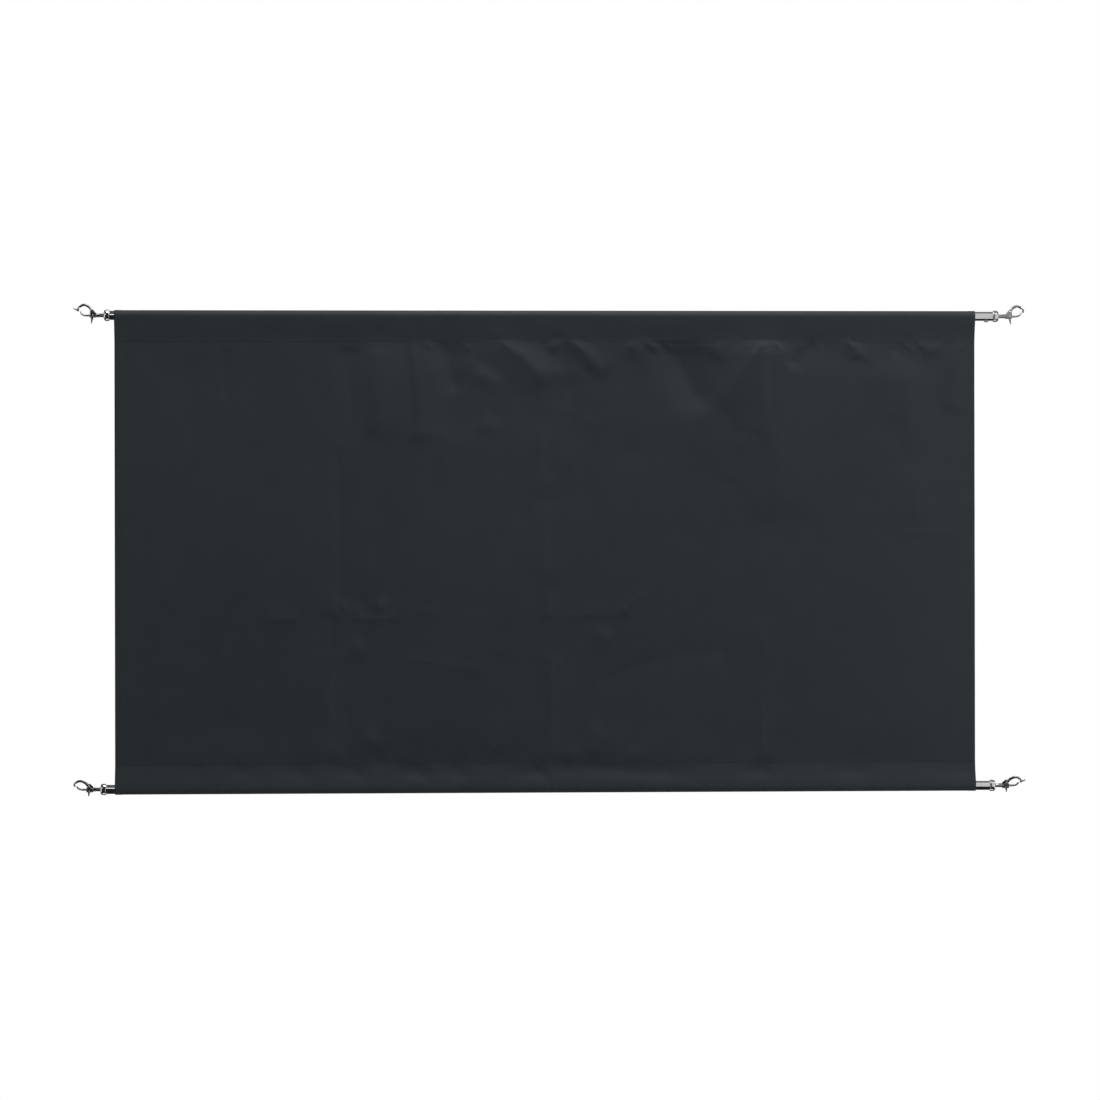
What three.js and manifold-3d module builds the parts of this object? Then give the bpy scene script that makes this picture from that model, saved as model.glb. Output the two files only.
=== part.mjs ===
// Cafe barrier: a canvas panel with a sleeve along its top and bottom edge, a steel pole in each sleeve,
// and a swivelling snap hook on each pole end that clips to an eye of a barrier post.
// Millimetres. +X runs along the poles, the front faces -Y, +Z is up.
// The origin is on the axis of the top pole, halfway along it.
import * as THREE from 'three';
import { mergeVertices } from 'three/addons/utils/BufferGeometryUtils.js';
import Module from 'manifold-3d';

const wasm = await Module();
wasm.setup();

// Gaps between pieces, and how far a cutting shape overruns what it cuts
const clearance = 0.3;
const turnClearance = 0.4;
const overrun = 1;

// Poles: how much longer than the cloth they are, and how far along each one is pushed in its sleeve
const poleRadius = 7;
const poleWall = 1;
const poleSpacing = 708.5;
const poleExtra = 34.4;
const topPoleOffset = 10.2;
const bottomPoleOffset = 4.1;

// Canvas
const clothThickness = 0.8;
const panelWidth = 1293;
const topSeamDrop = 38.7;
const bottomSeamRise = 36.5;
const flapLength = 6;
const hemWidth = 10;
const hemStep = 0.8;
const threadThickness = 0.5;
const hemThreadInset = 7;

// Folds that the panel keeps from being stored folded, placed from its middle and from the top pole
const creaseShares = [-0.238, 0.004, 0.258];
const crossCreaseShare = 0.635;
const creaseHeight = 3;
const creaseHalfWidth = 22;
const crossCreaseHeight = 2;
const crossCreaseHalfWidth = 20;
const swayDepth = 3;
const foldFade = 60;

// End plug of a pole: a collar with a domed end outside, a spigot inside
const collarRadius = 8.75;
const collarBand = 4.6;
const domeLength = 4;
const domeEndRadius = 4.2;
const domeWall = 2;
const collarChamfer = 0.5;
const spigotLength = 18;
const spigotWall = 1;
const rivetInset = 10;
const rivetHeadRadius = 4;
const rivetHeadHeight = 1.9;
const rivetShankRadius = 1.5;

// Swivel pin
const swivelHeadThickness = 2;
const swivelRadius = 2.8;
const swivelLength = 6;
const swivelTailRadius = 1.7;
const swivelTailLength = 5.2;

// Snap hook, with its own u axis outward along the pole and s axis up from it
const neckRadius = 3.1;
const neckEndWall = 0.9;
const cheekThickness = 1.5;
const slotWidth = 5;
const webRise = 8.4;
const webDrop = 3;
const webBevel = 0.7;
const eyeStart = 21;
const eyeEnd = 36.3;
const eyeTop = 13.8;
const armRadius = 2.1;
const rootWidth = 7.8;
const rootThickness = 6.2;
const rootStart = 12.6;
const rootRise = 5.6;
const rootShare = 0.36;
const noseRadius = 1.7;
const noseDrop = 5.8;
const noseStartShare = 0.9;
const noseTipShare = 0.8;
const spurReach = 7.2;
const spurDrop = 8.2;
const spurRise = 2.6;
const spurRootRadius = 1.5;
const spurTipRadius = 0.8;
const spurBendShares = [0.45, 0.2];
const noseHeightShare = 0.72;
const slotTopShare = 0.45;
const seatHeight = 3;
const seatReach = 0.425;

// Gate with its thumb lever
const pivotAlong = 16;
const hubRadius = 3.2;
const hubWidth = 4.2;
const gatePinRadius = 1.2;
const gateThickness = 3;
const gateTipThickness = 2.4;
const gateTipRise = 5.6;
const gateBendShare = 0.42;
const gateBow = 0.4;
const leverLength = 12.3;
const leverWidth = 3.9;
const leverTip = 1.1;
const leverThickness = 3;

// Gate spring
const springWire = 0.5;
const springRadius = 1.85;
const springPitch = 0.95;
const springTurns = 2;
const springLeg = 2.3;

// Which way the rivets of each pole point: down on the top one, to the back on the bottom one
const topRivetTurn = 0;
const bottomRivetTurn = Math.PI / 2;

// How each hook lies turned on its swivel, in degrees, and whether its nose has a spur
const hookPlaces = [
  { name: 'top_left', side: -1, top: true, turn: 5, spur: true },
  { name: 'top_right', side: 1, top: true, turn: -14, spur: false },
  { name: 'bottom_left', side: -1, top: false, turn: -34, spur: false },
  { name: 'bottom_right', side: 1, top: false, turn: 36, spur: true },
];

// Counts of facets
const tubeSides = 32;
const turnedSides = 24;
const pinSides = 14;
const barSides = 14;
const armSteps = 24;
const spurSteps = 5;
const gateSteps = 9;
const domeSteps = 5;
const sleeveSteps = 8;
const springSides = 5;
const curlSteps = 8;
const legSteps = 2;

// Sizes that follow from the ones above
const poleLength = panelWidth + poleExtra;
const [leftCreaseX, middleCreaseX, rightCreaseX] = creaseShares.map((share) => share * panelWidth);
const crossCreaseDrop = crossCreaseShare * poleSpacing;
const boreRadius = poleRadius + clearance;
const sleeveRadius = boreRadius + clothThickness;
const rivetRoom = rivetHeadHeight + turnClearance + clearance;
const plugLength = collarBand + domeLength;
const spigotRadius = poleRadius - poleWall - clearance;
const swivelBore = spigotRadius - spigotWall;
const swivelHeadRadius = swivelBore - clearance;
const poleEnd = poleLength / 2 + clearance + plugLength;
const gateCentre = new THREE.Vector3(pivotAlong, 0, 0);
const webThickness = slotWidth + 2 * cheekThickness;
const slotStart = pivotAlong - hubRadius - turnClearance;
const noseAlong = eyeEnd + noseRadius;
const noseTop = eyeTop * noseHeightShare;

const canvasCloth = new THREE.MeshStandardMaterial({ color: 0x282d30, roughness: 0.8, metalness: 0 });
const threadYarn = new THREE.MeshStandardMaterial({ color: 0x24292c, roughness: 0.7, metalness: 0 });
const satinSteel = new THREE.MeshStandardMaterial({ color: 0xb4b6b8, roughness: 0.35, metalness: 1 });
const chromeSteel = new THREE.MeshStandardMaterial({ color: 0xd6d8da, roughness: 0.12, metalness: 1 });
const springSteel = new THREE.MeshStandardMaterial({ color: 0x9a9ca0, roughness: 0.3, metalness: 1 });

const barrier = new THREE.Group();

// Solids

function mergedOf(geometry) {
  const plain = geometry.clone();
  plain.deleteAttribute('normal');
  plain.deleteAttribute('uv');
  return mergeVertices(plain);
}

function solidOf(geometry) {
  const merged = mergedOf(geometry);
  const vertProperties = new Float32Array(merged.attributes.position.array);
  const triVerts = new Uint32Array(merged.index.array);
  return new wasm.Manifold(new wasm.Mesh({ numProp: 3, vertProperties, triVerts }));
}

function geometryOf(solid) {
  const mesh = solid.getMesh();
  const geometry = new THREE.BufferGeometry();
  geometry.setAttribute('position', new THREE.BufferAttribute(new Float32Array(mesh.vertProperties), 3));
  geometry.setIndex(new THREE.BufferAttribute(new Uint32Array(mesh.triVerts), 1));
  return geometry;
}

function cutFrom(geometry, ...tools) {
  return geometryOf(tools.reduce((solid, tool) => solid.subtract(solidOf(tool)), solidOf(geometry)));
}

function joined(...geometries) {
  return geometryOf(geometries.map(solidOf).reduce((whole, piece) => whole.add(piece)));
}

function place(name, geometry, material, parent) {
  const mesh = new THREE.Mesh(geometry, material);
  mesh.name = name;
  parent.add(mesh);
}

// A body turned about X. Each profile point is [radius, place along X], listed with the solid on its left
// as the profile runs from the near end outside to the far end.
function turned(profile, sides) {
  const points = profile.map(([radius, along]) => new THREE.Vector2(radius, along));
  return new THREE.LatheGeometry(points, sides).rotateZ(-Math.PI / 2);
}

// A round bar along Y, centred on a point of the u-s plane
function crossBar(radius, length, centre, sides) {
  return new THREE.CylinderGeometry(radius, radius, length, sides).translate(centre.x, centre.y, centre.z);
}

function block(low, high) {
  const size = new THREE.Vector3().subVectors(high, low);
  const middle = new THREE.Vector3().addVectors(low, high).multiplyScalar(0.5);
  return new THREE.BoxGeometry(size.x, size.y, size.z).translate(middle.x, middle.y, middle.z);
}

// A plate in the u-s plane, centred on Y, with its rim rounded by a bevel
function plate(outline, thickness, bevel) {
  const shape = new THREE.Shape(outline.map(([along, up]) => new THREE.Vector2(along, up)));
  const options = {
    depth: thickness - 2 * bevel,
    bevelEnabled: bevel > 0,
    bevelThickness: bevel,
    bevelSize: bevel,
    bevelOffset: -bevel,
    bevelSegments: 1,
  };
  return new THREE.ExtrudeGeometry(shape, options)
    .translate(0, 0, bevel - thickness / 2)
    .rotateX(Math.PI / 2);
}

// A closed solid through stations. Each station is a list of closed loops: the outer one runs
// counterclockwise seen from the far end, and the loops of its holes run clockwise.
function loft(stations, capFaces) {
  const first = stations[0];
  const stride = first.reduce((count, loop) => count + loop.length, 0);
  const position = stations.flat(2).flatMap((point) => point.toArray());
  const index = [];
  for (let station = 0; station + 1 < stations.length; station += 1) {
    let start = station * stride;
    for (const loop of first) {
      for (let k = 0; k < loop.length; k += 1) {
        const here = start + k;
        const next = start + ((k + 1) % loop.length);
        index.push(here, next, next + stride, here, next + stride, here + stride);
      }
      start += loop.length;
    }
  }
  const last = (stations.length - 1) * stride;
  for (const [a, b, c] of capFaces) {
    index.push(a, c, b, last + a, last + b, last + c);
  }
  const geometry = new THREE.BufferGeometry();
  geometry.setAttribute('position', new THREE.Float32BufferAttribute(position, 3));
  geometry.setIndex(index);
  return geometry;
}

function fanFaces(count) {
  return Array.from({ length: count - 2 }, (_, k) => [0, k + 1, k + 2]);
}

// A bar along a curve, with an oval section given for each share of its length as
// [half width across the curve's own plane, half thickness in it]
function bar(curve, sectionAt, sides, steps) {
  const across = new THREE.Vector3(0, 1, 0);
  const stations = [];
  for (let step = 0; step <= steps; step += 1) {
    const share = step / steps;
    const centre = curve.getPointAt(share);
    const inPlane = new THREE.Vector3().crossVectors(curve.getTangentAt(share), across).normalize();
    const [halfWidth, halfThickness] = sectionAt(share);
    const loop = [];
    for (let k = 0; k < sides; k += 1) {
      const angle = (2 * Math.PI * k) / sides;
      loop.push(
        centre
          .clone()
          .addScaledVector(across, halfWidth * Math.cos(angle))
          .addScaledVector(inPlane, halfThickness * Math.sin(angle)),
      );
    }
    stations.push([loop]);
  }
  return loft(stations, fanFaces(sides));
}

function planeCurve(points) {
  return new THREE.CatmullRomCurve3(points.map(([along, up]) => new THREE.Vector3(along, 0, up)));
}

function easeBetween(from, to, share) {
  return from + (to - from) * THREE.MathUtils.smoothstep(share, 0, 1);
}

// Canvas

// How far the panel stands towards the back at a place on it, measured from its middle and the top pole
function foldAt(x, drop) {
  const ridge = (distance, halfWidth) => Math.max(0, 1 - Math.abs(distance) / halfWidth);
  const creases = [leftCreaseX, middleCreaseX, rightCreaseX];
  const upright = creases.map((crease) => ridge(x - crease, creaseHalfWidth));
  const cross = ridge(drop - crossCreaseDrop, crossCreaseHalfWidth);
  const middleSpan = x > leftCreaseX && x < rightCreaseX ? 1 : 0;
  const bay = rightCreaseX - middleCreaseX;
  const sway = swayDepth * Math.sin((Math.PI * (x - middleCreaseX)) / bay);
  const fromTop = THREE.MathUtils.smoothstep(drop, topSeamDrop, topSeamDrop + foldFade);
  const bottomSeam = poleSpacing - bottomSeamRise;
  const fromBottom = 1 - THREE.MathUtils.smoothstep(drop, bottomSeam - foldFade, bottomSeam);
  const sideRoom = panelWidth / 2 - hemWidth - hemStep;
  const fromSide = 1 - THREE.MathUtils.smoothstep(Math.abs(x), sideRoom - 2 * foldFade, sideRoom);
  const standing = sway - creaseHeight * Math.max(...upright) - crossCreaseHeight * cross * middleSpan;
  return standing * fromTop * fromBottom * fromSide;
}

// A sleeve's half turn around its pole as [depth, height] points, from the back over the pole to the front,
// with backRoom of extra depth at the back. The pole lies at height 0 and up says which way the turn bulges.
function sleeveLoop(radius, backRoom, up) {
  const loop = [];
  for (let k = 0; k <= sleeveSteps; k += 1) {
    const angle = Math.PI * (k / sleeveSteps);
    const depth = Math.cos(angle) > 0 ? radius + backRoom : radius;
    loop.push([depth * Math.cos(angle), up * radius * Math.sin(angle)]);
  }
  return loop;
}

// The panel's section at a place along it, as [depth, height] points
function canvasSection(x) {
  const atHem = Math.abs(x) > panelWidth / 2 - hemWidth - hemStep / 2;
  const hemExtra = atHem ? clothThickness : 0;
  const topSeam = -topSeamDrop;
  const bottomSeam = bottomSeamRise - poleSpacing;
  const drops = [
    topSeamDrop + foldFade,
    2 * topSeamDrop + 2 * foldFade,
    crossCreaseDrop - crossCreaseHalfWidth,
    crossCreaseDrop,
    crossCreaseDrop + crossCreaseHalfWidth,
    poleSpacing - bottomSeamRise - foldFade,
  ];
  const front = drops.map((drop) => [foldAt(x, drop) - clothThickness, -drop]);
  const back = drops.map((drop) => [foldAt(x, drop) + hemExtra, -drop]).reverse();
  const flapBack = clothThickness + hemExtra;
  const outer = [
    ...sleeveLoop(sleeveRadius, 0, 1),
    [-clothThickness, topSeam],
    ...front,
    [-clothThickness, bottomSeam],
    ...sleeveLoop(sleeveRadius, rivetRoom, -1)
      .map(([depth, height]) => [depth, height - poleSpacing])
      .reverse(),
    [flapBack, bottomSeam],
    [flapBack, bottomSeam + flapLength],
    [hemExtra, bottomSeam + flapLength + clothThickness],
    ...back,
    [hemExtra, topSeam - flapLength - clothThickness],
    [flapBack, topSeam - flapLength],
    [flapBack, topSeam],
  ];
  const topCavity = [...sleeveLoop(boreRadius, 0, 1), [0, topSeam + 2 * clothThickness]].reverse();
  const bottomCavity = [
    ...sleeveLoop(boreRadius, rivetRoom, -1).map(([depth, height]) => [depth, height - poleSpacing]),
    [0, bottomSeam - 2 * clothThickness],
  ];
  return [outer, topCavity, bottomCavity];
}

function canvasStations() {
  const edge = panelWidth / 2;
  const hems = [edge, edge - hemWidth, edge - hemWidth - hemStep];
  const creases = [leftCreaseX, middleCreaseX, rightCreaseX];
  const folds = creases.flatMap((x) => [x - creaseHalfWidth, x, x + creaseHalfWidth]);
  const between = [
    (leftCreaseX + middleCreaseX) / 2,
    (middleCreaseX + rightCreaseX) / 2,
    (rightCreaseX + edge) / 2,
    (leftCreaseX - edge) / 2,
    edge - 2 * foldFade,
    2 * foldFade - edge,
  ];
  return [...hems, ...hems.map((x) => -x), ...folds, ...between].sort((a, b) => a - b);
}

function canvasGeometry() {
  const stations = canvasStations().map((x) =>
    canvasSection(x).map((loop) => loop.map(([depth, height]) => new THREE.Vector3(x, depth, height))),
  );
  const [outer, ...holes] = canvasSection(panelWidth / 2).map((loop) =>
    loop.map(([depth, height]) => new THREE.Vector2(depth, height)),
  );
  const flat = [outer, ...holes].flat();
  const faces = THREE.ShapeUtils.triangulateShape(outer, holes).map(([a, b, c]) =>
    THREE.ShapeUtils.area([flat[a], flat[b], flat[c]]) > 0 ? [a, b, c] : [a, c, b],
  );
  return loft(stations, faces);
}

function seamThreadGeometry(height) {
  const front = -clothThickness - clearance;
  const edge = panelWidth / 2;
  return block(
    new THREE.Vector3(-edge, front - threadThickness, height - threadThickness / 2),
    new THREE.Vector3(edge, front, height + threadThickness / 2),
  );
}

function hemThreadGeometry(side) {
  const front = -clothThickness - clearance;
  const x = side * (panelWidth / 2 - hemThreadInset);
  const top = -topSeamDrop - threadThickness - clearance;
  const bottom = bottomSeamRise - poleSpacing + threadThickness + clearance;
  return block(
    new THREE.Vector3(x - threadThickness / 2, front - threadThickness, bottom),
    new THREE.Vector3(x + threadThickness / 2, front, top),
  );
}

function addCanvas() {
  const hung = new THREE.Group();
  hung.position.x = -topPoleOffset;
  place('canvas_panel', canvasGeometry(), canvasCloth, hung);
  place('seam_thread_top', seamThreadGeometry(-topSeamDrop), threadYarn, hung);
  place('seam_thread_bottom', seamThreadGeometry(bottomSeamRise - poleSpacing), threadYarn, hung);
  place('hem_thread_left', hemThreadGeometry(-1), threadYarn, hung);
  place('hem_thread_right', hemThreadGeometry(1), threadYarn, hung);
  barrier.add(hung);
}

// Poles

// A rivet's hole or shank: a round bar that runs outward from inside the plug, straight down until turned
function rivetBar(radius, from, to) {
  return turned([[0, from], [radius, from], [radius, to], [0, to]], pinSides).rotateY(Math.PI / 2);
}

function poleTube(rivetTurn) {
  const half = poleLength / 2;
  const inner = poleRadius - poleWall;
  const profile = [[inner, -half], [poleRadius, -half], [poleRadius, half], [inner, half], [inner, -half]];
  const rivetX = poleEnd - plugLength - rivetInset;
  const holes = [-1, 1].map((side) =>
    rivetBar(rivetShankRadius + clearance, spigotRadius - spigotWall, poleRadius + overrun)
      .rotateX(rivetTurn)
      .translate(side * rivetX, 0, 0),
  );
  return cutFrom(turned(profile, tubeSides), ...holes);
}

// An end plug, with u = 0 at the outer end of its dome
function plugGeometry(rivetTurn) {
  const dome = [];
  for (let step = 0; step <= domeSteps; step += 1) {
    const angle = (Math.PI / 2) * (step / domeSteps);
    const radius = domeEndRadius + (collarRadius - domeEndRadius) * Math.cos(angle);
    dome.push([radius, domeLength * (Math.sin(angle) - 1)]);
  }
  const hole = swivelRadius + clearance;
  const profile = [
    [swivelBore, -plugLength - spigotLength],
    [spigotRadius, -plugLength - spigotLength],
    [spigotRadius, -plugLength],
    [collarRadius - collarChamfer, -plugLength],
    [collarRadius, collarChamfer - plugLength],
    ...dome,
    [hole, 0],
    [hole, -domeWall],
    [swivelBore, -domeWall],
    [swivelBore, -plugLength - spigotLength],
  ];
  const rivetHole = rivetBar(rivetShankRadius + clearance, 0, spigotRadius + overrun)
    .rotateX(rivetTurn)
    .translate(-plugLength - rivetInset, 0, 0);
  return cutFrom(turned(profile, turnedSides), rivetHole);
}

function rivetGeometry() {
  const base = poleRadius + clearance;
  const profile = [
    [0, swivelBore],
    [rivetShankRadius, swivelBore],
    [rivetShankRadius, base],
    [rivetHeadRadius, base],
  ];
  for (let step = 1; step <= domeSteps; step += 1) {
    const share = step / domeSteps;
    const radius = rivetHeadRadius * (1 - share);
    profile.push([radius, base + rivetHeadHeight * (1 - (radius / rivetHeadRadius) ** 2)]);
  }
  return turned(profile, pinSides).rotateY(Math.PI / 2);
}

// Snap hook

function swivelPinGeometry() {
  const head = -domeWall - clearance;
  const end = swivelLength + swivelTailLength;
  const profile = [
    [0, head - swivelHeadThickness],
    [swivelHeadRadius, head - swivelHeadThickness],
    [swivelHeadRadius, head],
    [swivelRadius, head],
    [swivelRadius, swivelLength],
    [swivelTailRadius, swivelLength],
    [swivelTailRadius, end],
    [0, end],
  ];
  return turned(profile, pinSides);
}

// The hook's arm, from its root in the shoulder over the eye and down to the nose
function armGeometry() {
  const shoulder = [pivotAlong + clearance, rootRise];
  const outward = [eyeStart + armRadius / 2, eyeTop - armRadius / 2];
  const points = [
    [rootStart, 0],
    shoulder,
    [(shoulder[0] + outward[0]) / 2, (shoulder[1] + outward[1]) / 2],
    outward,
    [(eyeStart + noseAlong) / 2 - armRadius / 2, eyeTop + armRadius],
    [noseAlong - 2 * armRadius, eyeTop + armRadius / 4],
    [noseAlong, noseTop],
    [noseAlong, noseDrop + noseRadius],
    [noseAlong, noseDrop],
  ];
  const sectionAt = (share) => {
    const thinned = easeBetween(armRadius, noseRadius, (share - rootShare) / (noseStartShare - rootShare));
    const tipShare = (share - noseStartShare) / (1 - noseStartShare);
    const rounded = easeBetween(noseRadius, noseRadius * noseTipShare, tipShare);
    const radius = share < noseStartShare ? thinned : rounded;
    const atRoot = share / rootShare;
    return [easeBetween(rootWidth / 2, radius, atRoot), easeBetween(rootThickness / 2, radius, atRoot)];
  };
  return bar(planeCurve(points), sectionAt, barSides, armSteps);
}

// A short spur that stands out from the nose and guides the eye of a post on to the gate
function spurGeometry() {
  const points = [
    [noseAlong, spurDrop],
    [noseAlong + spurReach * spurBendShares[0], spurDrop + spurRise * spurBendShares[1]],
    [noseAlong + spurReach, spurDrop + spurRise],
  ];
  const sectionAt = (share) => {
    const radius = easeBetween(spurRootRadius, spurTipRadius, share);
    return [radius, radius];
  };
  return bar(planeCurve(points), sectionAt, barSides, spurSteps);
}

function hookGeometry(spur) {
  const neckStart = swivelLength + clearance;
  const neck = turned(
    [[0, neckStart], [neckRadius, neckStart], [neckRadius, slotStart], [0, slotStart]],
    turnedSides,
  );
  const web = plate(
    [
      [slotStart - neckEndWall - webBevel, -webDrop],
      [eyeStart, -webDrop],
      [eyeStart - webBevel, webRise - webDrop],
      [eyeStart - webDrop, webRise],
      [pivotAlong - webBevel, webRise],
      [slotStart - neckEndWall - webBevel, webDrop],
    ],
    webThickness,
    webBevel,
  );
  const socketRadius = swivelTailRadius + clearance;
  const socketEnd = swivelLength + swivelTailLength + clearance;
  const socket = turned(
    [[0, 0], [socketRadius, 0], [socketRadius, socketEnd], [0, socketEnd]],
    pinSides,
  );
  const slot = block(
    new THREE.Vector3(slotStart, -slotWidth / 2, -leverLength),
    new THREE.Vector3(eyeStart + overrun, slotWidth / 2, eyeTop * slotTopShare),
  );
  const pinHole = crossBar(gatePinRadius + clearance, webThickness + overrun, gateCentre, pinSides);
  const seat = block(
    new THREE.Vector3(eyeEnd - armRadius, -armRadius, noseTop - seatHeight / 2),
    new THREE.Vector3(eyeEnd + seatReach, armRadius, noseTop + seatHeight / 2),
  );
  const pieces = [neck, web, armGeometry(), ...(spur ? [spurGeometry()] : [])];
  return cutFrom(joined(...pieces), socket, slot, pinHole, seat);
}

function gateGeometry() {
  const tipAlong = eyeEnd - turnClearance - gateTipThickness / 2;
  const curve = planeCurve([
    [pivotAlong + gatePinRadius, 0],
    [(pivotAlong + eyeEnd) / 2, -gateBow],
    [eyeEnd - 2 * gateThickness, gateBow],
    [eyeEnd - gateThickness, gateTipRise * gateBendShare],
    [tipAlong, gateTipRise],
  ]);
  const sectionAt = (share) => [
    easeBetween(hubWidth / 2, gateTipThickness / 2, share),
    easeBetween(gateThickness / 2, gateTipThickness / 2, share),
  ];
  const arm = bar(curve, sectionAt, barSides, gateSteps);
  const hub = crossBar(hubRadius, hubWidth, gateCentre, turnedSides);
  const leverFar = pivotAlong + hubRadius - clearance;
  const lever = plate(
    [
      [leverFar - leverWidth, 0],
      [leverFar - leverWidth, -hubRadius],
      [leverFar - leverTip, -leverLength],
      [leverFar, -leverLength],
      [leverFar, 0],
    ],
    leverThickness,
    0,
  );
  const springRoom = springRadius + springWire / 2 + turnClearance;
  const springWidth = springPitch * springTurns + springWire + 2 * clearance;
  const cavity = crossBar(springRoom, springWidth, gateCentre, turnedSides);
  const window = block(
    new THREE.Vector3(pivotAlong - hubRadius - overrun, -springWidth / 2, 0),
    new THREE.Vector3(pivotAlong, springWidth / 2, hubRadius + overrun),
  );
  const pinHole = crossBar(gatePinRadius + clearance, hubWidth + overrun, gateCentre, pinSides);
  return cutFrom(joined(hub, arm, lever), cavity, window, pinHole);
}

function gatePinGeometry() {
  return crossBar(gatePinRadius, webThickness, gateCentre, pinSides);
}

// The torsion spring around the gate's pin, with one leg that bears on the back of the slot
class SpringPath extends THREE.Curve {
  constructor() {
    super();
    this.wound = 2 * Math.PI * springRadius * springTurns;
    this.whole = this.wound + springLeg;
  }

  getPoint(share) {
    const run = Math.min(share * this.whole, this.wound);
    const angle = Math.PI / 2 - 2 * Math.PI * springTurns + run / springRadius;
    const leg = share * this.whole - run;
    return new THREE.Vector3(
      pivotAlong + springRadius * Math.cos(angle) - leg,
      springPitch * (run / this.wound - 0.5) * springTurns,
      springRadius * Math.sin(angle),
    );
  }
}

function gateSpringGeometry() {
  const wire = new THREE.Shape();
  wire.absarc(0, 0, springWire / 2, 0, 2 * Math.PI, false);
  return new THREE.ExtrudeGeometry(wire, {
    steps: curlSteps * springTurns + legSteps,
    curveSegments: springSides,
    bevelEnabled: false,
    extrudePath: new SpringPath(),
  });
}

// Assembly

function addPole(name, poleGroup, rivetTurn) {
  place(`${name}_pole_tube`, poleTube(rivetTurn), satinSteel, poleGroup);
}

function addPoleEnd(spot, poleGroup, rivetTurn) {
  const end = new THREE.Group();
  end.position.x = spot.side * poleEnd;
  end.rotation.z = spot.side > 0 ? 0 : Math.PI;
  const ownTurn = spot.side * rivetTurn;
  place(`ferrule_${spot.name}`, plugGeometry(ownTurn), chromeSteel, end);
  const rivet = rivetGeometry().rotateX(ownTurn).translate(-plugLength - rivetInset, 0, 0);
  place(`rivet_${spot.name}`, rivet, chromeSteel, end);
  const hook = new THREE.Group();
  hook.rotation.x = THREE.MathUtils.degToRad(spot.turn);
  place(`swivel_pin_${spot.name}`, swivelPinGeometry(), chromeSteel, hook);
  place(`hook_${spot.name}`, hookGeometry(spot.spur), chromeSteel, hook);
  place(`gate_${spot.name}`, gateGeometry(), chromeSteel, hook);
  place(`gate_pin_${spot.name}`, gatePinGeometry(), chromeSteel, hook);
  place(`gate_spring_${spot.name}`, gateSpringGeometry(), springSteel, hook);
  end.add(hook);
  poleGroup.add(end);
}

function addPoles() {
  const topPole = new THREE.Group();
  const bottomPole = new THREE.Group();
  bottomPole.position.set(bottomPoleOffset - topPoleOffset, 0, -poleSpacing);
  addPole('top', topPole, topRivetTurn);
  addPole('bottom', bottomPole, bottomRivetTurn);
  for (const spot of hookPlaces) {
    addPoleEnd(spot, spot.top ? topPole : bottomPole, spot.top ? topRivetTurn : bottomRivetTurn);
  }
  barrier.add(topPole, bottomPole);
}

addCanvas();
addPoles();

export default barrier;
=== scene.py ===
"""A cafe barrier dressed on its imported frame: a canvas panel between two steel poles with snap hooks.

Metres. +X runs along the poles, the front faces -Y and +Z is up, with the origin on the top pole's axis.
"""
import math

import bmesh
import bpy
import numpy as np
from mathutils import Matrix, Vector


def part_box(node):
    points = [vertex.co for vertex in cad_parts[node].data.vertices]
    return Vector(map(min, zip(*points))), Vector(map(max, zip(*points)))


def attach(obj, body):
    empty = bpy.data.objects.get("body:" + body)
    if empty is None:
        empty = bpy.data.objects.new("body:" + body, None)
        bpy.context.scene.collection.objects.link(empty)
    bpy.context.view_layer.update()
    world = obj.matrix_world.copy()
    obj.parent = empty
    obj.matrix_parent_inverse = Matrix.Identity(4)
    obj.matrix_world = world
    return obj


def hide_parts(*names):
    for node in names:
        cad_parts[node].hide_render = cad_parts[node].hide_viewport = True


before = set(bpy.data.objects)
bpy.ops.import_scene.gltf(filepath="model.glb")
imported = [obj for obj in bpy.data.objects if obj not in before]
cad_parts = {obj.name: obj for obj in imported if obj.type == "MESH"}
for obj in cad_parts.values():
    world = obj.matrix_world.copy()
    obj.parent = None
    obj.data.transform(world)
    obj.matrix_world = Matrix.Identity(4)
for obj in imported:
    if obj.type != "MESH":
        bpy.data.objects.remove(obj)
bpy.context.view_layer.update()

MM = 0.001
SPOTS = ("top_left", "top_right", "bottom_left", "bottom_right")


def centre_of(node):
    low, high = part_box(node)
    return (low + high) / 2


# Places taken from the frame
PANEL_LOW, PANEL_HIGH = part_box("canvas_panel")
PANEL_MIDDLE = (PANEL_LOW.x + PANEL_HIGH.x) / 2
POLE_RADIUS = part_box("top_pole_tube")[1].z
BOTTOM_AXIS = centre_of("bottom_pole_tube").z
TOP_SEAM = centre_of("seam_thread_top").z
BOTTOM_SEAM = centre_of("seam_thread_bottom").z
LEFT_HEM = centre_of("hem_thread_left").x
RIGHT_HEM = centre_of("hem_thread_right").x

# Cloth
CLOTH = 0.6 * MM
LAYER_DEPTH = CLOTH / 2 + 0.01 * MM
SLEEVE_RADIUS = -PANEL_LOW.y - CLOTH / 2 - 0.15 * MM
RIVET_ROOM = PANEL_HIGH.y + PANEL_LOW.y
FLAP = 6 * MM
HEM = 10 * MM
HEM_EXTRA = 0.75 * MM
HEM_SWELL = 0.25 * MM
COLUMN_STEP = 3 * MM
ROW_STEP = 3.6 * MM
TURN_ROWS = 14
TOP_BOW = 0.3
BOTTOM_BOW = 0.45
SLEEVE_FREE = (0.08, 0.8)
SEAM_GRIP = 7 * MM
HEM_EDGE = 0.6 * MM
HEM_PINCH = 0.75
HEM_PINCH_REACH = 1.3 * MM
HEM_BACK_PINCH = 0.4
YARN = 0.62 * MM
WEAVE_DEPTH = 0.09 * MM
CRUMPLE_DEPTH = 0.5 * MM

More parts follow.
